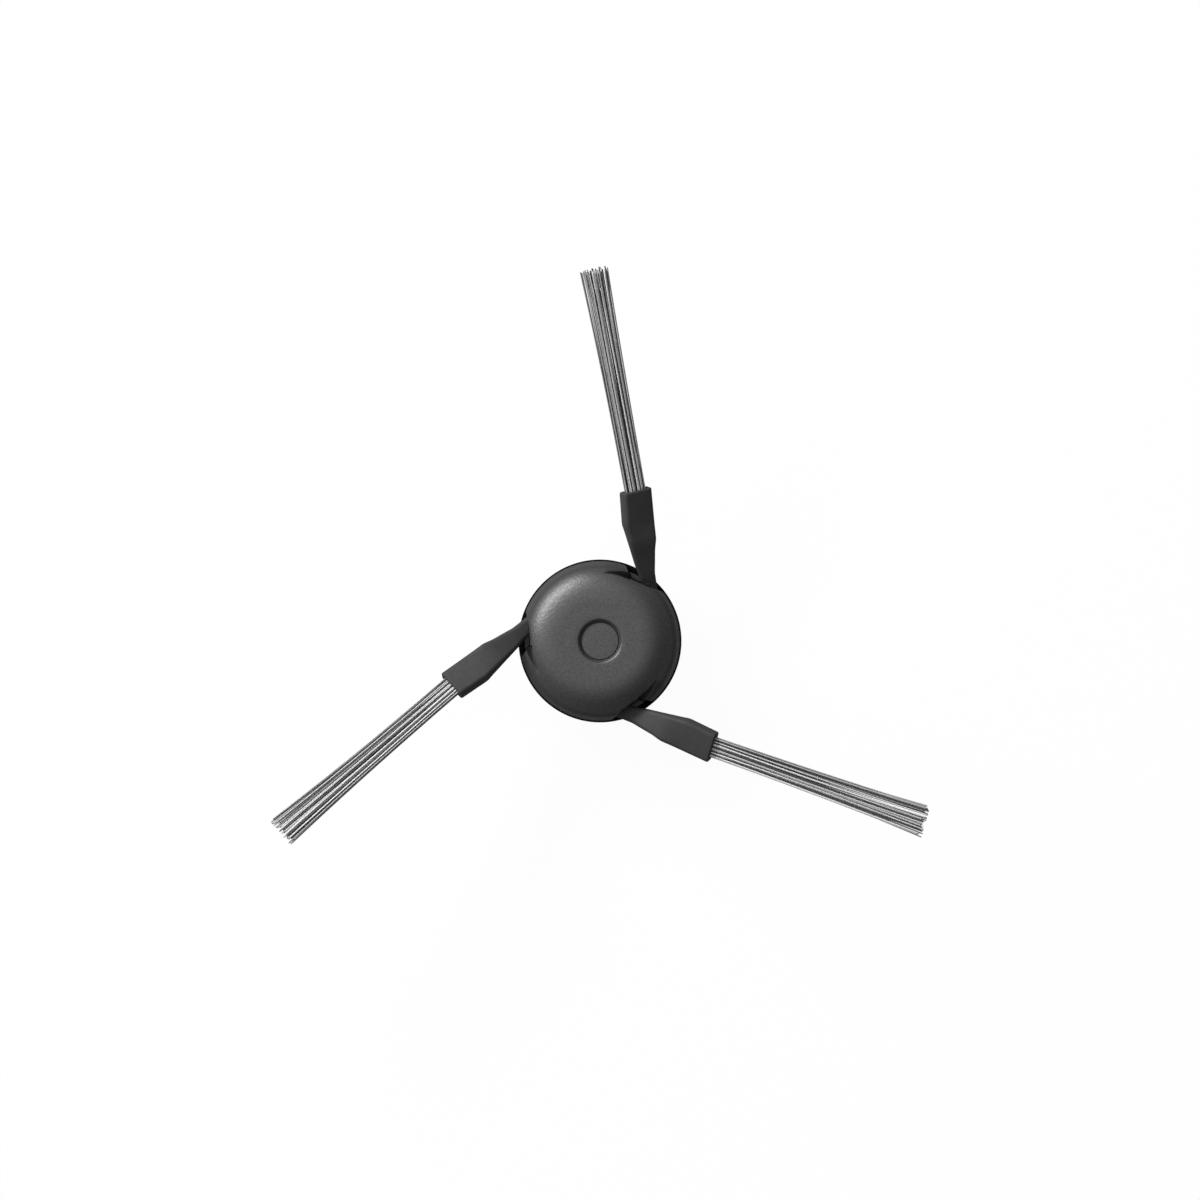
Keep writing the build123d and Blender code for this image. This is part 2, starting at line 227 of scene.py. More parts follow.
class HubSizes(bpy.types.PropertyGroup):
    """Sizes of the cap, its windows and ledges, and the recess in its crown."""

    shoulder_slope: angle("Shoulder slope", "Slope at which the wide shoulder meets the tighter edge", 45)
    edge_radius: length("Edge radius", "Radius of the tighter edge between shoulder and side", 3.7)
    side_height: length("Side height", "Height of the cap's straight side over the flange", 3.4)
    side_slope: angle("Side slope", "Slope of the cap's side against the crown", 80)
    hood_inset: length("Hood inset", "Distance from the rim in to the hood's straight edge", 2.28)
    window_azimuth: angle("Window azimuth", "Direction in which the first hood faces", 65)
    window_leading: angle("Window leading", "Swing from the hood's direction to the leading corner", 26.8)
    hood_bend: length("Hood bend", "Where the hood's edge bends out towards the leading corner", 4.9)
    window_trailing: length("Window trailing", "Where the slanted side leaves the hood's edge", 0.4)
    trailing_slant: angle("Trailing slant", "Slope of the slanted side against the hood's direction", 46.5)
    edge_round: length("Edge round", "Rounding of the hood's edge", 0.5)
    side_round: length("Side round", "Rounding of the window's slanted side", 0.12)
    wall: length("Wall", "Thickness of the cap's wall", 1.3)
    ledge_width: length("Ledge width", "Distance from the rim in to the crease of the ledge", 2.48)
    ledge_depth: length("Ledge depth", "How far the ledge lies under the dome at its crease", 1.2)
    ledge_slope: angle("Ledge slope", "Slope of the ledge from its crease out to the rim", 14)
    groove_depth: length("Groove depth", "Depth of the groove along the crease, under the ledge", 2.2)
    groove_width: length("Groove width", "Width of the groove beside the window", 1.7)
    ledge_end: angle("Ledge end", "Swing from the hood's direction to where the ledge has run out", 23)
    recess_radius: length("Recess radius", "Radius of the recess at its mouth", 4.7)
    seat_gap: length("Seat gap", "Gap round the plug and between collar and window", 0.15)
    collar_depth: length("Collar depth", "How far the arm's collar reaches out from the hood's edge", 1.2)
    collar_leading: length("Collar leading", "How far the collar reaches under the arm", 4.5)
    collar_height: length("Collar height", "Height of the collar over the flange", 2.9)


class ArmSizes(bpy.types.PropertyGroup):
    """Sizes of the rubber arms."""

    heading: angle("Heading", "Direction in which the first arm runs in plan", 99)
    inset: length("Inset", "How far inside the flange's edge the arm's line passes the hub", 5.35)
    neck_rise: angle("Neck rise", "Slope at which the arm climbs from the hub to its flare", 26)
    rise: angle("Rise", "Slope of the paddle and the tuft", 12)
    roll: angle("Roll", "Roll of the paddle about the arm's line", 21)
    edge_radius: length("Edge radius", "Rounding along the arm's edges", 0.9)
    root_thickness: length("Root thickness", "Thickness of the arm inside the hub", 2.2)
    neck_thickness: length("Neck thickness", "Thickness of the arm outside its window", 2.8)
    paddle_thickness: length("Paddle thickness", "Thickness of the paddle", 3.2)
    end_round: length("End round", "Rounding round the paddle's end", 0.35)
    slot_width: length("Slot width", "Width of the slot that the bristles leave", 5.1)
    slot_thickness: length("Slot thickness", "Thickness of the slot that the bristles leave", 1.9)
    slot_depth: length("Slot depth", "Depth of the slot in the paddle's end", 6.8)


class TuftSizes(bpy.types.PropertyGroup):
    """Sizes of the bristle tufts."""

    heading: angle("Heading", "Swing of the tuft against its arm in plan", 1.6)
    free_length: length("Free length", "Length of the longest filaments outside the paddle", 49.0)
    unevenness: length("Unevenness", "Difference between the longest and the shortest filaments", 1.2)
    diameter: length("Diameter", "Diameter of a filament", 0.3)
    layers: count("Layers", "Layers of filaments", 4, 2)
    per_layer: count("Per layer", "Filaments in a layer", 14, 2)
    root_width: length("Root width", "Width of the tuft where it leaves the paddle", 5.0)
    root_thickness: length("Root thickness", "Thickness of the tuft where it leaves the paddle", 1.3)
    tip_thickness: length("Tip thickness", "Thickness of the tuft at its tips", 1.9)
    bow: length("Bow", "How far a filament wanders from a straight line", 0.12)
    seed: count("Seed", "Start of the random draws", 11)


class Finishes(bpy.types.PropertyGroup):
    """Colours of the materials, and the cap's satin skin."""

    cap: colour("Cap", "Satin plastic of the cap and the plug", (0.044, 0.044, 0.045))
    # The base's colour is its own dark plastic, taken down to near black as painted shade for the gaps under
    # the cap's windows and the thin ring round its rim.
    base: colour("Base", "Plastic of the drive base", (0.004, 0.004, 0.004))
    rubber: colour("Rubber", "Soft rubber of the arms", (0.045, 0.045, 0.046))
    bristle_light: colour("Light bristle", "Palest bristles", (0.8, 0.8, 0.8))
    # The dark end of the filaments' tones, which the dark columns take, is painted shade for the gaps between
    # filaments.
    bristle_shade: colour("Dark bristle", "Darkest bristles", (0.01, 0.01, 0.01))
    cap_roughness: share("Cap roughness", "Roughness of the cap's plastic under its skin", 0.8)
    skin: share("Skin", "Weight of the cap's satin skin", 1.0)
    skin_roughness: share("Skin roughness", "Roughness of the cap's satin skin", 0.4)


class StageSizes(bpy.types.PropertyGroup):
    """Camera, light and floor."""

    view_height: length("View height", "Height of the camera over the floor", 2500)
    view_width: length("View width", "Width of the view at the hub's rim", 257.67)
    view_forward: length("View forward", "Distance of the view's middle from the hub's axis", 8.8)
    floor_radius: length("Floor radius", "Half the width of the floor", 8000)
    ambient: share("Ambient", "Strength of the light from all round", 0.1)


def sizes():
    """The add-on's own settings in the open scene."""
    return bpy.context.scene.side_brush


def smooth_step(values):
    """Soft ramp from 0 to 1 while the value goes from 0 to 1: 3 v squared less 2 v cubed."""
    held = np.clip(values, 0, 1)
    return held * held * (3 - 2 * held)


def softened(stations, values, at, reach, samples=9):
    """Straight runs between stations, averaged over a short reach either way to round their corners."""
    offsets = np.linspace(-reach, reach, samples)
    return np.interp(at[:, None] + offsets, stations, values).mean(axis=1)


def quarter_turn(steps):
    """Angles of a quarter turn in even steps."""
    return np.linspace(0, math.pi / 2, steps)


def rotation(axis, turn):
    """Matrix of a turn about one of the axes 0, 1 and 2."""
    matrix = np.eye(3)
    first, second = (axis + 1) % 3, (axis + 2) % 3
    matrix[first, first] = matrix[second, second] = math.cos(turn)
    matrix[second, first] = math.sin(turn)
    matrix[first, second] = -math.sin(turn)
    return matrix


def third_turn(index):
    """Turn of one of the three arms, windows or tufts about the hub's axis."""
    return index * math.tau / ARM_COUNT


def placed(points, origin, *turns):
    """Points carried by turns, the last one first, and then moved to an origin."""
    matrix = np.eye(3)
    for turn in turns:
        matrix = matrix @ turn
    return points @ matrix.T + origin


def shell(rows):
    """Points and faces of a closed tube of rings: quads between neighbouring rings and a fan over each end.

    The faces are turned round where the volume under them comes out negative."""
    ring_count, size = rows.shape[:2]
    here = np.arange(size)
    following = np.roll(here, -1)
    start = (np.arange(ring_count - 1) * size)[:, None]
    ahead = start + size
    quads = np.stack([start + here, ahead + here, ahead + following, start + following], axis=-1)
    last = (ring_count - 1) * size
    first_fan = np.stack([np.full(size, ring_count * size), here, following], axis=-1)
    last_fan = np.stack([np.full(size, ring_count * size + 1), last + following, last + here], axis=-1)
    points = np.concatenate([rows.reshape(-1, 3), rows[[0, -1]].mean(axis=1)])
    corners = rows[:-1], rows[1:], np.roll(rows[1:], -1, axis=1)
    if np.sum(corners[0] * np.cross(corners[1], corners[2])) < 0:
        quads, first_fan, last_fan = quads[..., ::-1], first_fan[:, ::-1], last_fan[:, ::-1]
    return points, [quads.reshape(-1, 4), np.concatenate([first_fan, last_fan])]


def joined(shells):
    """Points and faces of several shells as one."""
    points, faces, start = [], [], 0
    for shell_points, shell_faces in shells:
        points.append(shell_points)
        faces += [part + start for part in shell_faces]
        start += len(shell_points)
    return np.concatenate(points), faces


def add_object(name, data):
    """A new object in the open scene."""
    made = bpy.data.objects.new(name, data)
    bpy.context.scene.collection.objects.link(made)
    return made


def new_piece(name, form, material, node, sharp=SHARP_EDGE):
    """A smooth-shaded piece with its sharp edges kept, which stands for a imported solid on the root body."""
    points, faces = form
    mesh = bpy.data.meshes.new(name)
    mesh.from_pydata(points.tolist(), [], [face for part in faces for face in part.tolist()])
    mesh.polygons.foreach_set("use_smooth", np.ones(len(mesh.polygons), dtype=bool))
    mesh.set_sharp_from_angle(angle=sharp)
    mesh.materials.append(material)
    piece = add_object(name, mesh)
    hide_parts(node)
    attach(piece, "root")
    return piece


def add_values(piece, name, values):
    """One number for each point of a piece, for its material to read."""
    attribute = piece.data.attributes.new(name, "FLOAT", "POINT")
    attribute.data.foreach_set("value", values.astype(np.float32))


def edge_start(hub):
    """Distance from the axis at which the shoulder ends, and the width of the tighter edge after it."""
    width = hub.edge_radius * (math.sin(hub.side_slope) - math.sin(hub.shoulder_slope))
    return RIM_RADIUS - hub.side_height / math.tan(hub.side_slope) - width, width


def shoulder_radius(hub):
    """Radius of the shoulder's arc, which takes up the cap's height over its edge and its straight side."""
    edge_height = hub.edge_radius * (math.cos(hub.shoulder_slope) - math.cos(hub.side_slope))
    drop = CAP_TOP - FLANGE_TOP - hub.side_height - edge_height
    return drop / (1 - math.cos(hub.shoulder_slope))


def crown_radius(hub):
    """Radius of the crown's flat middle, where the shoulder's arc begins."""
    return edge_start(hub)[0] - shoulder_radius(hub) * math.sin(hub.shoulder_slope)


def dome_height(hub, radius):
    """Height of the cap over a distance from the axis: crown, wide shoulder, tighter edge, straight side.

    On each arc the height follows from the sine of the slope, which grows evenly with the distance."""
    bend = shoulder_radius(hub)
    start, width = edge_start(hub)
    shoulder_sine = np.clip((radius - crown_radius(hub)) / bend, 0, math.sin(hub.shoulder_slope))
    edge_sine = math.sin(hub.shoulder_slope) + np.clip(radius - start, 0, width) / hub.edge_radius
    shoulder = bend * (1 - np.sqrt(1 - shoulder_sine**2))
    edge = hub.edge_radius * (math.cos(hub.shoulder_slope) - np.sqrt(1 - edge_sine**2))
    side = math.tan(hub.side_slope) * np.clip(radius - start - width, 0, None)
    return CAP_TOP - shoulder - edge - side


def crease_radius(hub):
    """Distance of the ledge's crease from the axis."""
    return RIM_RADIUS - hub.ledge_width


def past_crease(hub, radius):
    """Steep step from 0 inside the ledge's crease to 1 outside it."""
    return smooth_step((radius - crease_radius(hub) + CREASE_WALL) / CREASE_WALL)


def ledge_begin(hub):
    """Swing from the hood's direction to the corner where the ledge begins."""
    return -hub.window_trailing / (RIM_RADIUS - hub.hood_inset)


def ledge_left(hub, swing):
    """Share of a ledge that is left: 1 at the window's corner, falling evenly to 0 where it runs out."""
    begin = ledge_begin(hub)
    return np.where(swing < begin, 0, np.clip((hub.ledge_end - swing) / (hub.ledge_end - begin), 0, 1))


def ledge_drop(hub, radius, swing):
    """Depth of the ledge under the dome: a steep wall at its crease, a groove, an even slope to the rim.

    Wall and groove shrink from the window's corner to where the ledge runs out."""
    left = ledge_left(hub, swing)
    crease = crease_radius(hub)
    out = np.maximum(radius - crease, 0)
    level = dome_height(hub, crease) - hub.ledge_depth * left - math.tan(hub.ledge_slope) * out
    ledge = np.clip(dome_height(hub, np.maximum(radius, crease)) - level, 0, None) * np.ceil(left)
    across = smooth_step(1 - out / np.maximum(hub.groove_width * left, TINY))
    groove = hub.groove_depth * left**GROOVE_FADE * across
    return (ledge + groove) * past_crease(hub, radius)


def ledge_matt(hub, radius, swing):
    """How matt the cap is: most of its skin is missing on the ledges, with a soft end where they run out."""
    return LEDGE_MATT * past_crease(hub, radius) * smooth_step(ledge_left(hub, swing) / MATT_FADE)


def window_corners(hub):
    """Corners of a window in plan, its hood facing along X: leading rim and hood, trailing hood and rim.

    The last one is where the slanted side meets the rim's circle, by the root of a quadratic equation."""
    hood = RIM_RADIUS - hub.hood_inset
    slant = math.tan(hub.trailing_slant)
    lead_rim = RIM_RADIUS * np.array([math.cos(hub.window_leading), -math.sin(hub.window_leading)])
    lead_hood = np.array([hood, -hub.hood_bend])
    trail_hood = np.array([hood, -hub.window_trailing])
    half = hood - hub.window_trailing * slant
    spare = hood**2 + hub.window_trailing**2 - RIM_RADIUS**2
    run = (math.sqrt(half**2 - (1 + slant**2) * spare) - half) / (1 + slant**2)
    return lead_rim, lead_hood, trail_hood, trail_hood + run * np.array([1, slant])


def straight(begin, end, points):
    """Evenly spaced points from one place towards another, which is left out itself."""
    return begin + (end - begin) * np.linspace(0, 1, points, endpoint=False)[:, None]


def cap_outline(hub):
    """Plan of the cap's edge: each hood's bent edge, the window's slanted side, the rim to the next window.

    Its corners are softened by mixing every point with its neighbours."""
    lead_rim, lead_hood, trail_hood, trail_rim = window_corners(hub)
    rim_begin = math.atan2(trail_rim[1], trail_rim[0])
    rim_end = third_turn(1) - hub.window_leading
    swing = np.linspace(rim_begin, rim_end, RIM_POINTS, endpoint=False)
    stretches = [
        straight(lead_rim, lead_hood, LEADING_POINTS),
        straight(lead_hood, trail_hood, HOOD_POINTS),
        straight(trail_hood, trail_rim, SLANT_POINTS),
        RIM_RADIUS * np.stack([np.cos(swing), np.sin(swing)], axis=-1),
    ]
    third = np.concatenate(stretches)
    turns = [rotation(2, hub.window_azimuth + third_turn(index))[:2, :2] for index in range(ARM_COUNT)]
    loop = np.concatenate([third @ turn.T for turn in turns])
    for _ in range(SOFTENING_ROUNDS):
        loop = (np.roll(loop, 1, axis=0) + 2 * loop + np.roll(loop, -1, axis=0)) / 4
    return loop


def cap_plan(hub):
    """Each point of the cap's edge: heading, distance from the axis, swing from its hood, if on the rim."""
    outline = cap_outline(hub)
    distance = np.linalg.norm(outline, axis=1)
    azimuth = np.arctan2(outline[:, 1], outline[:, 0])
    half_third = third_turn(1) / 2
    swing = np.mod(azimuth - hub.window_azimuth + half_third, third_turn(1)) - half_third
    return CapPlan(outline / distance[:, None], distance, swing, distance > RIM_RADIUS - RIM_MARGIN)


def cap_ring(plan, radius, height):
    """A ring along the plan's headings, at a radius and a height that may differ from point to point."""
    level = np.broadcast_to(height, plan.distance.shape)
    return np.column_stack([plan.heading * np.reshape(radius, (-1, 1)), level])


def recess_profile(hub):
    """Radius and height of the rings over the plug's seat, up the recess and over its lip to the crown."""
    seat = PLUG_RADIUS + hub.seat_gap
    floor = [(FLAT_RING * seat, PLUG_BOTTOM), (seat, PLUG_BOTTOM)]
    wall = [(seat, PLUG_TOP - SEAT_EDGE), (seat + SEAT_EDGE, PLUG_TOP)]
    lip = [(hub.recess_radius + out, CAP_TOP - down) for out, down in RECESS_LIP]
    return [*floor, *wall, *lip, (CROWN_RING * crown_radius(hub), CAP_TOP)]


def dome_radii(hub, plan):
    """Radii of the dome's rings: circles out to the ledge's crease, then growing shares of the edge."""
    crease = crease_radius(hub)
    shoulder = np.linspace(crown_radius(hub), crease - CREASE_WALL, SHOULDER_RINGS)
    wall = crease - CREASE_WALL * np.arange(WALL_RINGS, 0, -1) / (WALL_RINGS + 1)
    mixes = 1 - np.linspace(1, 0, EDGE_RINGS) ** EDGE_CROWDING
    circles = [np.full_like(plan.distance, radius) for radius in (*shoulder, *wall)]
    return circles + [crease + (plan.distance - crease) * mix for mix in mixes]


def rounded_drop(hub, plan, radius):
    """Fall of the window's rounded edges under the dome: a quarter circle, tighter on the slanted side."""
    on_hood = smooth_step((ledge_begin(hub) - plan.swing) / HOOD_BLEND)
    window_round = hub.side_round + (hub.edge_round - hub.side_round) * on_hood
    rounding = np.where(plan.on_rim, 0.0, window_round)
    short = np.clip(rounding - (plan.distance - radius), 0, rounding)
    return rounding - np.sqrt(rounding**2 - short**2)


def inside_profile(hub, plan):
    """Radius and height of the rings from the cap's lower edge, arched over each arm, to its ceiling."""
    foot = RIM_RADIUS - hub.wall / math.sin(hub.side_slope)
    ceiling_radius = foot - CEILING_INSET
    ceiling = PLUG_BOTTOM - CEILING_WALL
    slope = (ceiling - FLANGE_TOP) / (foot - ceiling_radius)
    inside = FLANGE_TOP + np.clip(foot - plan.distance, 0, None) * slope
    off_middle = np.abs((plan.swing - PASSAGE_SWING) / PASSAGE_HALF_SWING)
    passage = FLANGE_TOP + PASSAGE_HEIGHT * np.clip(1 - off_middle**PASSAGE_POWER, 0, 1)
    arch = np.where(plan.on_rim, FLANGE_TOP, np.maximum(inside, passage))
    thin = np.minimum(plan.distance - THIN_EDGE, foot)
    edge = [(plan.distance, arch), (thin, arch)]
    return [*edge, (ceiling_radius, ceiling), (FLAT_RING * ceiling_radius, ceiling)]


def cap_shell(hub):
    """The cap as rings from its recess over crown and side to its edge, then back inside to the ceiling.

    A ring's height on the dome is the dome's own less the drop of the ledge and of the rounded edges.
    How matt each point is comes last: the ledges have lost most of their satin skin."""
    plan = cap_plan(hub)
    recess = recess_profile(hub)
    radii = dome_radii(hub, plan)
    heights = [
        dome_height(hub, radius) - ledge_drop(hub, radius, plan.swing) - rounded_drop(hub, plan, radius)
        for radius in radii
    ]
    profile = [*recess, *zip(radii, heights), *inside_profile(hub, plan)]
    form = shell(np.stack([cap_ring(plan, radius, height) for radius, height in profile]))
    matt = np.concatenate([ledge_matt(hub, radius, plan.swing) for radius in radii])
    before = len(recess) * len(plan.distance)
    return form, np.pad(matt, (before, len(form[0]) - before - len(matt)))


def plug_shell():
    """The plug as rings: flat face, rounded edge, straight side and flat back."""
    bends = quarter_turn(PLUG_EDGE_STEPS)
    middle = PLUG_RADIUS / 2
    edge_radii = PLUG_RADIUS - PLUG_EDGE + PLUG_EDGE * np.sin(bends)
    edge_levels = PLUG_TOP - PLUG_EDGE + PLUG_EDGE * np.cos(bends)
    radii = np.concatenate([[middle], edge_radii, [PLUG_RADIUS, middle]])
    levels = np.concatenate([[PLUG_TOP], edge_levels, [PLUG_BOTTOM, PLUG_BOTTOM]])
    turns = np.linspace(0, math.tau, PLUG_SIDES, endpoint=False)
    circle = np.stack([np.cos(turns), np.sin(turns), np.zeros_like(turns)], axis=-1)
    return shell(radii[:, None, None] * circle + levels[:, None, None] * np.array([0, 0, 1.0]))


def rounded_section(half_width, half_thickness, radius, bend_steps=9):
    """Rounded rectangles in the YZ plane, one for each half width: a quarter arc in each corner, in turn."""
    bend = (np.arange(4)[:, None] * math.pi / 2 + quarter_turn(bend_steps)).ravel()
    side_y = np.repeat([1, -1, -1, 1], bend_steps)
    side_z = np.repeat([1, 1, -1, -1], bend_steps)
    y = side_y * (half_width - radius)[:, None] + radius[:, None] * np.cos(bend)
    z = side_z * (half_thickness - radius)[:, None] + radius[:, None] * np.sin(bend)
    return np.stack([np.zeros_like(y), y, z], axis=-1)


def arm_level(arm, station):
    """Height of an arm's centre line: level in the hub, steep up to its flare, then flatter."""
    climb = np.clip(station - NECK_END, 0, FLARE - NECK_END) * math.tan(arm.neck_rise)
    return NECK_LEVEL + climb + np.clip(station - FLARE, 0, None) * math.tan(arm.rise)


def arm_course(arm):
    """How an arm's line and section run from station to station.

    The section's half width follows from the outline in plan: projected half width less what the
    rolled thickness takes, divided by the cosine of the roll."""
    hidden = np.linspace(ARM_ROOT, WINDOW_STATION, HIDDEN_RINGS)
    seen = np.linspace(WINDOW_STATION, ARM_END - arm.end_round, SEEN_RINGS)
    along = np.concatenate([hidden, seen[1:]])
    stations, leading, trailing = ARM_PLAN.T * MM
    low = softened(stations, leading, along, SIDE_SOFTENING)
    high = softened(stations, trailing, along, SIDE_SOFTENING)
    line = np.linspace(0, LINE_LENGTH, LINE_SAMPLES)
    level = softened(line, arm_level(arm, line), along, LINE_SOFTENING)
    turning = np.array([0, FLARE_ROLL, 1]) * arm.roll
    roll = softened([ROLL_START, FLARE, PADDLE_START], turning, along, LINE_SOFTENING)
    thickness = np.array([arm.root_thickness, arm.neck_thickness, arm.paddle_thickness])
    half_thickness = softened([NECK_END, ROLL_START, PADDLE_START], thickness / 2, along, LINE_SOFTENING)
    projected = (high - low) / 2 - arm.edge_radius - (half_thickness - arm.edge_radius) * np.sin(roll)
    half_width = projected / np.cos(roll) + arm.edge_radius
    tilt = np.arctan(np.gradient(level, along))
    return ArmCourse(along, (high + low) / 2, level, tilt, roll, half_width, half_thickness)


def arm_ring(course, section, index):
    """A section set across the arm's line at one station, rolled and tilted as the line is there."""
    origin = np.array([course.along[index], course.middle[index], course.level[index]])
    return placed(section, origin, rotation(1, -course.tilt[index]), rotation(0, course.roll[index]))


def paddle_end(arm, half_width, half_thickness):
    """Sections past the arm's last station: edges drawn in on a quarter circle, then the bristles' slot."""
    bends = quarter_turn(END_STEPS)[1:]
    inset = arm.end_round * (1 - np.cos(bends))
    ends = rounded_section(half_width - inset, half_thickness - inset, arm.edge_radius - inset)
    ends[..., 0] = (arm.end_round * np.sin(bends))[:, None]
    lip = np.array([SLOT_LIP, 0, 0])
    depth = np.array([0, SLOT_LIP, arm.slot_depth])
    corner = np.full_like(lip, SLOT_CORNER)
    slots = rounded_section(arm.slot_width / 2 + lip, arm.slot_thickness / 2 + lip, corner)
    slots[..., 0] = (arm.end_round - depth)[:, None]
    return [*ends, *slots]


def arm_shell(arm):
    """An arm in its own frame, X along it: a rounded section carried along its line, rolled and widened."""
    course = arm_course(arm)
    radius = np.full_like(course.along, arm.edge_radius)
    sections = rounded_section(course.half_width, course.half_thickness, radius)
    rows = [arm_ring(course, section, index) for index, section in enumerate(sections)]
    ends = paddle_end(arm, course.half_width[-1], course.half_thickness[-1])
    rows += [arm_ring(course, section, -1) for section in ends]
    return shell(np.stack(rows))


def block_shell(corners, bottom, top):
    """An upright block over a plan of corners: rings drawn in along each corner's bisector round its top.

    A corner is two points, one on each of its sides, so that it is cut off a little."""
    corners = np.array(corners)
    ahead = np.roll(corners, -1, axis=0) - corners
    ahead /= np.linalg.norm(ahead, axis=1, keepdims=True)
    behind = np.roll(ahead, 1, axis=0)
    inward = (ahead - behind) / (1 + np.sum(ahead * -behind, axis=1, keepdims=True) ** 2) ** 0.5
    inward = np.repeat(inward, 2, axis=0)
    cut = np.stack([corners - BLOCK_EDGE * behind, corners + BLOCK_EDGE * ahead], axis=1)
    outline = cut.reshape(-1, 2)
    bends = quarter_turn(BLOCK_EDGE_STEPS)
    insets = np.concatenate([[0], BLOCK_EDGE * (1 - np.cos(bends))])
    levels = np.concatenate([[bottom], top - BLOCK_EDGE + BLOCK_EDGE * np.sin(bends)])
    plans = outline + insets[:, None, None] * inward
    heights = np.broadcast_to(levels[:, None, None], (*plans.shape[:2], 1))
    return shell(np.concatenate([plans, heights], axis=-1))


def root_bar():
    """The bar across an arm's root, which the base holds, in the arm's frame."""
    (begin, end), (leading, trailing) = ROOT_BAR_ALONG, ROOT_BAR_ACROSS
    corners = [(begin, leading), (end, leading), (end, trailing), (begin, trailing)]
    return block_shell(corners, *ROOT_BAR_LEVELS)


def collar_shell(hub):
    """The arm's collar in the window's corner, in the brush's frame, along the hood and the slanted side."""
    gap = hub.seat_gap
    hood = RIM_RADIUS - hub.hood_inset
    near, far = hood + gap, hood + hub.collar_depth
    slant = math.tan(hub.trailing_slant)
    leading = -hub.collar_leading
    trailing = gap * (slant - 1 / math.cos(hub.trailing_slant)) - hub.window_trailing
    corners = [(near, leading), (far, leading), (far, trailing + (far - near) * slant), (near, trailing)]
    points, faces = block_shell(corners, FLANGE_TOP, FLANGE_TOP + hub.collar_height)
    return points @ rotation(2, hub.window_azimuth).T, faces


def to_world(arm, points, index):
    """Points from an arm's own frame to the brush's frame."""
    offset = np.array([0, arm.inset - FLANGE_RADIUS, 0])
    return (points + offset) @ rotation(2, arm.heading + third_turn(index)).T


def whole_arm(arm, hub):
    """The first arm in the brush's frame: its body, its root bar and its collar as one."""
    shells = [(to_world(arm, points, 0), faces) for points, faces in (arm_shell(arm), root_bar())]
    return joined([*shells, collar_shell(hub)])


def bristle_lines(tuft, draws, tip_width):
    """Centre lines of a tuft's filaments in its own frame, X along it: layers that fan out evenly.

    Every filament is a little off. How deep in the tuft it lies and its place in its layer come last."""
    layer = np.repeat(np.arange(tuft.layers), tuft.per_layer)
    place = np.tile(np.arange(tuft.per_layer), tuft.layers)
    filaments = layer.size
    shift = 0.5 + layer % 2 / 2
    nudge = draws.uniform(-PLACE_JITTER, PLACE_JITTER, filaments)
    across = (place + shift + nudge) / (tuft.per_layer + 0.5) - 0.5
    deep = (layer + draws.uniform(-PLACE_JITTER, PLACE_JITTER, filaments)) / (tuft.layers - 1) - 0.5
    tip_across = np.clip(across + draws.normal(0, TIP_DRIFT_ACROSS, filaments), -0.5, 0.5)
    tip_deep = np.clip(deep + draws.normal(0, TIP_DRIFT_DEEP, filaments), -0.5, 0.5)
    reach = tuft.free_length - tuft.unevenness * draws.uniform(0, 1, filaments)
    t = np.linspace(0, 1, FILAMENT_STEPS)[None, :]
    bow = draws.normal(0, tuft.bow, (2, filaments))[..., None] * np.sin(math.pi * t)
    fan = t**FAN_POWER
    root_y, tip_y = across * (tuft.root_width - tuft.diameter), tip_across * (tip_width - tuft.diameter)
    root_z, tip_z = deep * tuft.root_thickness, tip_deep * tuft.tip_thickness
    x = -TUFT_GRIP + (reach[:, None] + TUFT_GRIP) * t
    y = root_y[:, None] * (1 - fan) + tip_y[:, None] * fan + bow[0]
    z = root_z[:, None] * (1 - fan) + tip_z[:, None] * fan + bow[1]
    return np.stack([x, y, z], axis=-1), deep, place


def bristle_tubes(lines, radius):
    """Round filaments along centre lines: a small polygon across the tuft's X at every step."""
    filaments, steps = lines.shape[:2]
    sides = FILAMENT_SIDES
    turns = np.linspace(0, math.tau, sides, endpoint=False)
    circle = np.stack([np.zeros(sides), np.cos(turns), np.sin(turns)], axis=-1)
    points = lines[:, :, None, :] + radius[:, None, None, None] * circle
    corner = np.arange(sides)
    following = np.roll(corner, -1)
    start = ((np.arange(filaments)[:, None] * steps + np.arange(steps - 1)) * sides)[..., None]
    ahead = start + sides
    quads = np.stack([start + corner, start + following, ahead + following, ahead + corner], axis=-1)
    begin = (np.arange(filaments) * steps * sides)[:, None]
    roots = begin + corner[::-1]
    tips = begin + (steps - 1) * sides + corner
    return points.reshape(-1, 3), [quads.reshape(-1, 4), roots, tips]


def bristle_tones_and_shade(tuft, draws, deep, place):
    """Tone of each filament: dark columns a few places apart as painted shade for the gaps between filaments,
    the rest pale, made duller below and outside as painted shade.
    """
    filaments = len(deep)
    # Dark columns, dark through every layer, are painted shade for the gaps between filaments.
    columns = np.cumsum(draws.choice(SHADE_COLUMN_SPACINGS, tuft.per_layer)) - 1
    is_painted_shade = np.isin(place, columns[columns < tuft.per_layer - 1])
    # Painted shade: filaments deeper in the tuft are duller, and the two outer columns are duller still.
    pale = draws.uniform(*PALE_RANGE, filaments) * (MIDDLE_TONE + DEPTH_SHADE * np.clip(deep, -0.5, 0.5))
    pale *= np.where((place == 0) | (place == tuft.per_layer - 1), SIDE_SHADE, 1)
    return np.where(is_painted_shade, draws.uniform(*PAINTED_SHADE_RANGE, filaments), pale)


def with_inputs(node, values):
    """A node with some of its inputs set by name."""
    for name, value in values.items():
        node.inputs[name].default_value = value
    return node


def add_node(tree, kind, values):
    """A new node with its own values."""
    return with_inputs(tree.nodes.new(kind), values)


def add_group(tree, group, values):
    """A node group placed in a material with its own values."""
    node = tree.nodes.new("ShaderNodeGroup")
    node.node_tree = group
    return with_inputs(node, values)


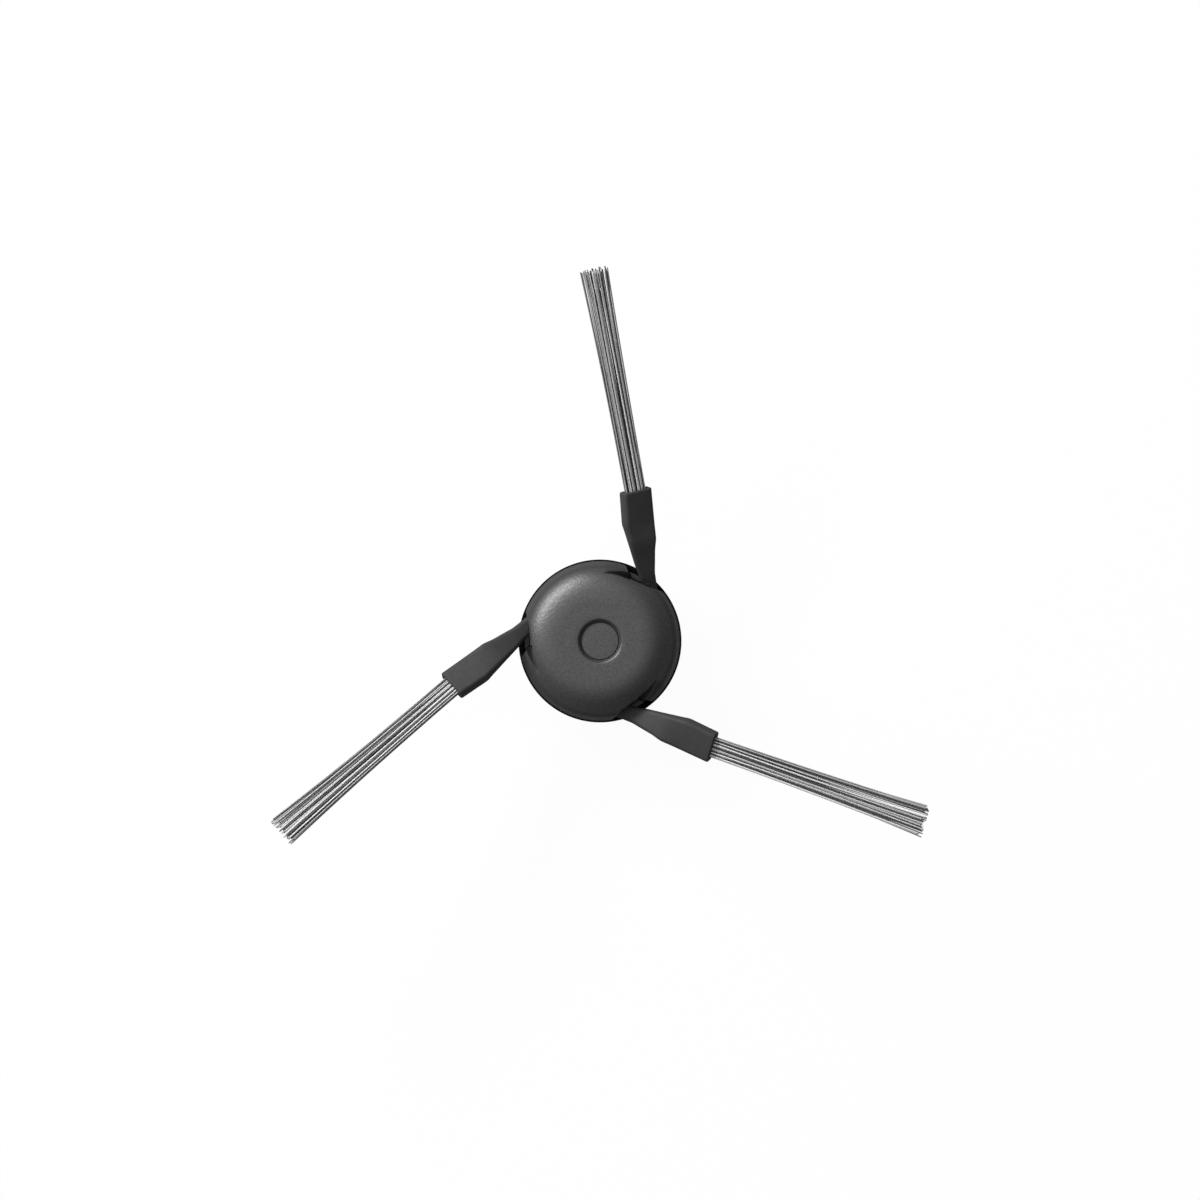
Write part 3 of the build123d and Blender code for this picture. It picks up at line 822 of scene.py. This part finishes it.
def worked_out(tree, operation, first, second):
    """The output of a node that works out one number from two, each a socket or a plain value."""
    node = tree.nodes.new("ShaderNodeMath")
    node.operation = operation
    for socket, value in zip(node.inputs, (first, second)):
        if isinstance(value, bpy.types.NodeSocket):
            tree.links.new(value, socket)
        else:
            socket.default_value = value
    return node.outputs[0]


def carried(tree, value, before, after, interpolation="LINEAR"):
    """A value carried from one range to another and held at its ends."""
    limits = dict(zip(("From Min", "From Max", "To Min", "To Max"), (*before, *after)))
    node = add_node(tree, "ShaderNodeMapRange", limits)
    node.interpolation_type = interpolation
    tree.links.new(value, node.inputs["Value"])
    return node.outputs["Result"]


def mixed_colour(tree, factor, first, second):
    """A colour that goes from one to another while a factor goes from 0 to 1."""
    node = tree.nodes.new("ShaderNodeMix")
    node.data_type = "RGBA"
    node.inputs["A"].default_value = (*first, 1)
    node.inputs["B"].default_value = (*second, 1)
    tree.links.new(factor, node.inputs["Factor"])
    return node.outputs["Result"]


def relief(tree, height, strength, depth):
    """Normals of a fine relief."""
    node = add_node(tree, "ShaderNodeBump", {"Strength": strength, "Distance": depth})
    tree.links.new(height, node.inputs["Height"])
    return node.outputs["Normal"]


def new_group(name, inputs, outputs):
    """An empty shader node group with named sockets, and its nodes that lead in and out."""
    group = bpy.data.node_groups.new(name, "ShaderNodeTree")
    for socket, kind in inputs.items():
        group.interface.new_socket(socket, in_out="INPUT", socket_type=kind)
    for socket in outputs:
        group.interface.new_socket(socket, in_out="OUTPUT", socket_type="NodeSocketFloat")
    return group, group.nodes.new("NodeGroupInput"), group.nodes.new("NodeGroupOutput")


def moulded_grain():
    """Node group for a moulded surface: fine grain as a height, and a slow mottle for roughness."""
    known = bpy.data.node_groups.get("moulded_grain")
    if known:
        return known
    inputs = {"Vector": "NodeSocketVector", "Grain": "NodeSocketFloat", "Mottle size": "NodeSocketFloat"}
    group, enter, leave = new_group("moulded_grain", inputs, ("Height", "Mottle"))
    fine = add_node(group, "ShaderNodeTexNoise", {"Detail": 2.0, "Roughness": 0.6})
    slow = add_node(group, "ShaderNodeTexNoise", {"Detail": 3.0})
    for name, noise, output in (("Grain", fine, "Height"), ("Mottle size", slow, "Mottle")):
        group.links.new(enter.outputs["Vector"], noise.inputs["Vector"])
        group.links.new(enter.outputs[name], noise.inputs["Scale"])
        group.links.new(noise.outputs["Fac"], leave.inputs[output])
    return group


def satin_skin():
    """Node group for a satin skin: whole where a surface faces up, faded where steep, broken by grain."""
    known = bpy.data.node_groups.get("satin_skin")
    if known:
        return known
    inputs = {"Normal": "NodeSocketVector", "Grain": "NodeSocketFloat", "Weight": "NodeSocketFloat"}
    group, enter, leave = new_group("satin_skin", inputs, ("Skin",))
    facing = group.nodes.new("ShaderNodeSeparateXYZ")
    group.links.new(enter.outputs["Normal"], facing.inputs["Vector"])
    upward = carried(group, facing.outputs["Z"], SKIN_FADE, (SKIN_ON_STEEP, 1), "SMOOTHSTEP")
    broken = carried(group, enter.outputs["Grain"], SKIN_GRAIN, (SKIN_IN_PITS, 1))
    patchy = worked_out(group, "MULTIPLY", upward, broken)
    skin = worked_out(group, "MULTIPLY", patchy, enter.outputs["Weight"])
    group.links.new(skin, leave.inputs["Skin"])
    return group


def bare_material(name):
    """A new material with an empty node tree and its output."""
    material = bpy.data.materials.new(name)
    material.use_nodes = True
    tree = material.node_tree
    tree.nodes.clear()
    return material, tree, tree.nodes.new("ShaderNodeOutputMaterial")


def shaded_material(name):
    """A new material with a principled shader."""
    material, tree, output = bare_material(name)
    shader = tree.nodes.new("ShaderNodeBsdfPrincipled")
    tree.links.new(shader.outputs["BSDF"], output.inputs["Surface"])
    return material, tree, shader


def moulded_material(name, tone, roughness, shine, grain, bump, contrast):
    """A moulded plastic or rubber: grain in its relief and tone, and a slow mottle in its roughness.

    Its shader and the grain's height come with it."""
    material, tree, shader = shaded_material(name)
    shader.inputs["Specular IOR Level"].default_value = shine
    where = tree.nodes.new("ShaderNodeTexCoord")
    surface = add_group(tree, moulded_grain(), {"Grain": grain, "Mottle size": MOTTLE_SIZE})
    tree.links.new(where.outputs["Object"], surface.inputs["Vector"])
    height = surface.outputs["Height"]
    dark = [value * (1 - contrast) for value in tone]
    pale = [value * (1 + contrast) for value in tone]
    tree.links.new(mixed_colour(tree, height, dark, pale), shader.inputs["Base Color"])
    spread = roughness - ROUGHNESS_SPREAD, roughness + ROUGHNESS_SPREAD
    mottled = carried(tree, surface.outputs["Mottle"], (0, 1), spread)
    tree.links.new(mottled, shader.inputs["Roughness"])
    tree.links.new(relief(tree, height, bump, GRAIN_DEPTH), shader.inputs["Normal"])
    return material, shader, height


def add_skin(tree, shader, height, weight, roughness):
    """A satin skin over a moulded surface, as the shader's coat, whose weight is given back."""
    where = tree.nodes.new("ShaderNodeTexCoord")
    skin = add_group(tree, satin_skin(), {"Weight": weight})
    tree.links.new(where.outputs["Normal"], skin.inputs["Normal"])
    tree.links.new(height, skin.inputs["Grain"])
    tree.links.new(skin.outputs["Skin"], shader.inputs["Coat Weight"])
    shader.inputs["Coat Roughness"].default_value = roughness
    shader.inputs["Coat IOR"].default_value = SKIN_IOR
    return skin.outputs["Skin"]


def cap_plastic(finish):
    """The cap's and the plug's plastic: a leathery relief in its satin skin, which is lost where matt."""
    known = bpy.data.materials.get("hub_satin")
    if known:
        return known
    material, shader, height = moulded_material(
        "hub_satin", finish.cap, finish.cap_roughness, shine=0.06, grain=2600, bump=0.5, contrast=0.3
    )
    tree = material.node_tree
    skin = add_skin(tree, shader, height, finish.skin, finish.skin_roughness)
    matt = tree.nodes.new("ShaderNodeAttribute")
    matt.attribute_name = "matt"
    kept = worked_out(tree, "SUBTRACT", 1.0, matt.outputs["Fac"])
    tree.links.new(worked_out(tree, "MULTIPLY", skin, kept), shader.inputs["Coat Weight"])
    where = tree.nodes.new("ShaderNodeTexCoord")
    leather = add_node(tree, "ShaderNodeTexNoise", {"Scale": LEATHER_SIZE, "Detail": 1.0})
    tree.links.new(where.outputs["Object"], leather.inputs["Vector"])
    leathery = relief(tree, leather.outputs["Fac"], strength=1.0, depth=LEATHER_DEPTH)
    tree.links.new(leathery, shader.inputs["Coat Normal"])
    return material


def base_plastic(finish):
    """The drive base's dull dark plastic, taken down to near black as painted shade for the gaps under the
    cap's windows and the ring round its rim.
    """
    return moulded_material(
        "base_plastic", finish.base, roughness=0.6, shine=0.04, grain=1800, bump=0.2, contrast=0.1
    )[0]


def arm_rubber(finish):
    """The arms' soft rubber, with a faint skin."""
    material, shader, height = moulded_material(
        "arm_rubber", finish.rubber, roughness=0.8, shine=0.1, grain=900, bump=0.08, contrast=0.05
    )
    add_skin(material.node_tree, shader, height, weight=0.18, roughness=0.55)
    return material


def bristle_nylon(finish):
    """Drawn nylon: each filament's tone, between a dark and a pale grey, with a soft gloss; its dark columns
    and its duller deep and outer filaments are painted shade.
    """
    material, tree, shader = shaded_material("bristle_nylon")
    shader.inputs["Roughness"].default_value = 0.35
    tone = tree.nodes.new("ShaderNodeAttribute")
    tone.attribute_name = "tone"
    colours = mixed_colour(tree, tone.outputs["Fac"], finish.bristle_shade, finish.bristle_light)
    tree.links.new(colours, shader.inputs["Base Color"])
    return material


def seen_directly(tree):
    """1 for what the camera sees, directly or in gloss or glass, and 0 for light on other things."""
    path = tree.nodes.new("ShaderNodeLightPath")
    seen = worked_out(tree, "MAXIMUM", path.outputs["Is Camera Ray"], path.outputs["Is Glossy Ray"])
    return worked_out(tree, "MAXIMUM", seen, path.outputs["Is Transmission Ray"])


def mixed_shader(tree, factor, first, second):
    """A shader that goes from one to another while a factor goes from 0 to 1."""
    node = tree.nodes.new("ShaderNodeMixShader")
    for socket, source in zip(node.inputs, (factor, first, second)):
        tree.links.new(source, socket)
    return node.outputs["Shader"]


def floor_material():
    """Pale floor: white where it is seen, with part of its light left for the shadow; clear from below."""
    material, tree, output = bare_material("pale_floor")
    seen = seen_directly(tree)
    matte = tree.nodes.new("ShaderNodeBsdfDiffuse")
    tree.links.new(carried(tree, seen, (0, 1), (FLOOR_TONE, 1)), matte.inputs["Color"])
    glow = add_node(tree, "ShaderNodeEmission", {"Color": (1, 1, 1, 1)})
    part = worked_out(tree, "MULTIPLY", seen, FLOOR_GLOW)
    pale = mixed_shader(tree, part, matte.outputs["BSDF"], glow.outputs["Emission"])
    side = tree.nodes.new("ShaderNodeNewGeometry")
    clear = tree.nodes.new("ShaderNodeBsdfTransparent")
    one_sided = mixed_shader(tree, side.outputs["Backfacing"], pale, clear.outputs["BSDF"])
    tree.links.new(one_sided, output.inputs["Surface"])
    return material


def add_floor(half):
    """A wide square floor under the brush."""
    mesh = bpy.data.meshes.new("floor")
    corners = [(-half, -half, 0), (half, -half, 0), (half, half, 0), (-half, half, 0)]
    mesh.from_pydata(corners, [], [(0, 1, 2, 3)])
    mesh.materials.append(floor_material())
    floor = add_object("floor", mesh)


def add_world(ambient):
    """Even grey surroundings, which the floor hides in the main view."""
    world = bpy.data.worlds.new("pale_room")
    bpy.context.scene.world = world
    world.use_nodes = True
    tree = world.node_tree
    tree.nodes.clear()
    output = tree.nodes.new("ShaderNodeOutputWorld")
    background = add_node(tree, "ShaderNodeBackground", {"Color": (1, 1, 1, 1), "Strength": ambient})
    tree.links.new(background.outputs["Background"], output.inputs["Surface"])


def add_light(name, shape, azimuth, elevation, size, watts):
    """A soft light, its height and width given, that faces the hub from a direction given in degrees."""
    light = bpy.data.lights.new(name, "AREA")
    light.shape = shape
    light.size, light.size_y = size
    light.energy = watts
    lamp = add_object(name, light)
    turn, climb = math.radians(azimuth), math.radians(elevation)
    lamp.location = (
        LIGHT_DISTANCE * math.cos(climb) * math.cos(turn),
        LIGHT_DISTANCE * math.cos(climb) * math.sin(turn),
        LIGHT_DISTANCE * math.sin(climb),
    )
    lamp.rotation_euler = (0, math.pi / 2 - climb, turn)
    lamp.visible_camera = False


def add_camera(stage):
    """A camera straight over the brush, whose view has its given width at the level of the hub's rim."""
    camera = bpy.data.cameras.new("photo_camera")
    camera.lens = camera.sensor_width * (stage.view_height - FLANGE_TOP) / stage.view_width
    viewer = add_object("photo_camera", camera)
    viewer.location = (0, stage.view_forward, stage.view_height)
    bpy.context.scene.camera = viewer


class BRUSH_OT_hub_cap(bpy.types.Operator):
    """Make the domed cap with its hoods, windows, ledges and recess"""

    bl_idname = "brush.hub_cap"
    bl_label = "Hub cap"

    def execute(self, context):
        form, matt = cap_shell(sizes().hub)
        piece = new_piece("cap_shell", form, cap_plastic(sizes().finish), "hub_cap")
        add_values(piece, "matt", matt)
        return {"FINISHED"}


class BRUSH_OT_centre_plug(bpy.types.Operator):
    """Make the plain plug in the crown's recess"""

    bl_idname = "brush.centre_plug"
    bl_label = "Centre plug"

    def execute(self, context):
        material = cap_plastic(sizes().finish)
        new_piece("recess_plug", plug_shell(), material, "centre_plug")
        return {"FINISHED"}


class BRUSH_OT_drive_base(bpy.types.Operator):
    """Finish the drive base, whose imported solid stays"""

    bl_idname = "brush.drive_base"
    bl_label = "Drive base"

    def execute(self, context):
        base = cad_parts["drive_base"]
        base.data.materials.clear()
        base.data.materials.append(base_plastic(sizes().finish))
        return {"FINISHED"}


class BRUSH_OT_arms(bpy.types.Operator):
    """Make the three rubber arms"""

    bl_idname = "brush.arms"
    bl_label = "Arms"

    def execute(self, context):
        material = arm_rubber(sizes().finish)
        points, faces = whole_arm(sizes().arm, sizes().hub)
        for index in range(ARM_COUNT):
            form = points @ rotation(2, third_turn(index)).T, faces
            new_piece(f"rubber_arm_{index + 1}", form, material, f"arm_{index + 1}")
        return {"FINISHED"}


class BRUSH_OT_tufts(bpy.types.Operator):
    """Make the three tufts of bristles"""

    bl_idname = "brush.tufts"
    bl_label = "Tufts"

    def execute(self, context):
        arm, tuft = sizes().arm, sizes().tuft
        material = bristle_nylon(sizes().finish)
        origin = np.array([ARM_END, PADDLE_END_SIDE, arm_level(arm, ARM_END)])
        turns = rotation(2, tuft.heading), rotation(1, -arm.rise), rotation(0, arm.roll)
        for index, tip_width in enumerate(TUFT_TIP_WIDTHS):
            draws = np.random.default_rng(tuft.seed + index)
            lines, deep, place = bristle_lines(tuft, draws, tip_width)
            radius = tuft.diameter / 2 * draws.uniform(*THICKNESS_RANGE, len(lines))
            points, faces = bristle_tubes(lines, radius)
            form = to_world(arm, placed(points, origin, *turns), index), faces
            name, node = f"bristles_{index + 1}", f"bristle_tuft_{index + 1}"
            piece = new_piece(name, form, material, node, SHARP_TIP)
            # Each filament's tone goes to all of its points, with the painted shade of the dark columns and
            # of the duller deep and outer filaments.
            tones_and_shade = bristle_tones_and_shade(tuft, draws, deep, place)
            add_values(piece, "tone", np.repeat(tones_and_shade, FILAMENT_STEPS * FILAMENT_SIDES))
        return {"FINISHED"}


class BRUSH_OT_stage(bpy.types.Operator):
    """Set out the floor, the light and the camera over the hub"""

    bl_idname = "brush.stage"
    bl_label = "Stage"

    def execute(self, context):
        stage = sizes().stage
        context.scene.view_settings.view_transform = "Standard"
        add_floor(stage.floor_radius)
        add_world(stage.ambient)
        add_light("key_light", **KEY_LIGHT)
        add_light("overhead_light", **OVERHEAD_LIGHT)
        add_camera(stage)
        return {"FINISHED"}


OPERATORS = (
    BRUSH_OT_hub_cap,
    BRUSH_OT_centre_plug,
    BRUSH_OT_drive_base,
    BRUSH_OT_arms,
    BRUSH_OT_tufts,
    BRUSH_OT_stage,
)


class BrushSettings(bpy.types.PropertyGroup):
    """All sizes and colours of the brush."""

    hub: bpy.props.PointerProperty(type=HubSizes, name="Hub", description="Sizes of the cap")
    arm: bpy.props.PointerProperty(type=ArmSizes, name="Arms", description="Sizes of the arms")
    tuft: bpy.props.PointerProperty(type=TuftSizes, name="Tufts", description="Sizes of the tufts")
    finish: bpy.props.PointerProperty(type=Finishes, name="Finishes", description="Colours and roughness")
    stage: bpy.props.PointerProperty(type=StageSizes, name="Stage", description="Camera, light and floor")


class BRUSH_PT_panel(bpy.types.Panel):
    """The brush's pieces, in the order in which they are made"""

    bl_idname = "BRUSH_PT_panel"
    bl_label = "Side brush"
    bl_space_type = "VIEW_3D"
    bl_region_type = "UI"
    bl_category = "Side brush"

    def draw(self, context):
        for operator in OPERATORS:
            self.layout.operator(operator.bl_idname)


SETTINGS = (HubSizes, ArmSizes, TuftSizes, Finishes, StageSizes, BrushSettings)
CLASSES = (*SETTINGS, *OPERATORS, BRUSH_PT_panel)


def register():
    """Makes the settings, operators and panel known."""
    for known in CLASSES:
        bpy.utils.register_class(known)
    bpy.types.Scene.side_brush = bpy.props.PointerProperty(type=BrushSettings)


def unregister():
    """Takes them away again."""
    del bpy.types.Scene.side_brush
    for known in reversed(CLASSES):
        bpy.utils.unregister_class(known)


def main():
    """Builds the brush and its stage."""
    register()
    bpy.ops.brush.hub_cap()
    bpy.ops.brush.centre_plug()
    bpy.ops.brush.drive_base()
    bpy.ops.brush.arms()
    bpy.ops.brush.tufts()
    bpy.ops.brush.stage()


if __name__ == "__main__":
    main()
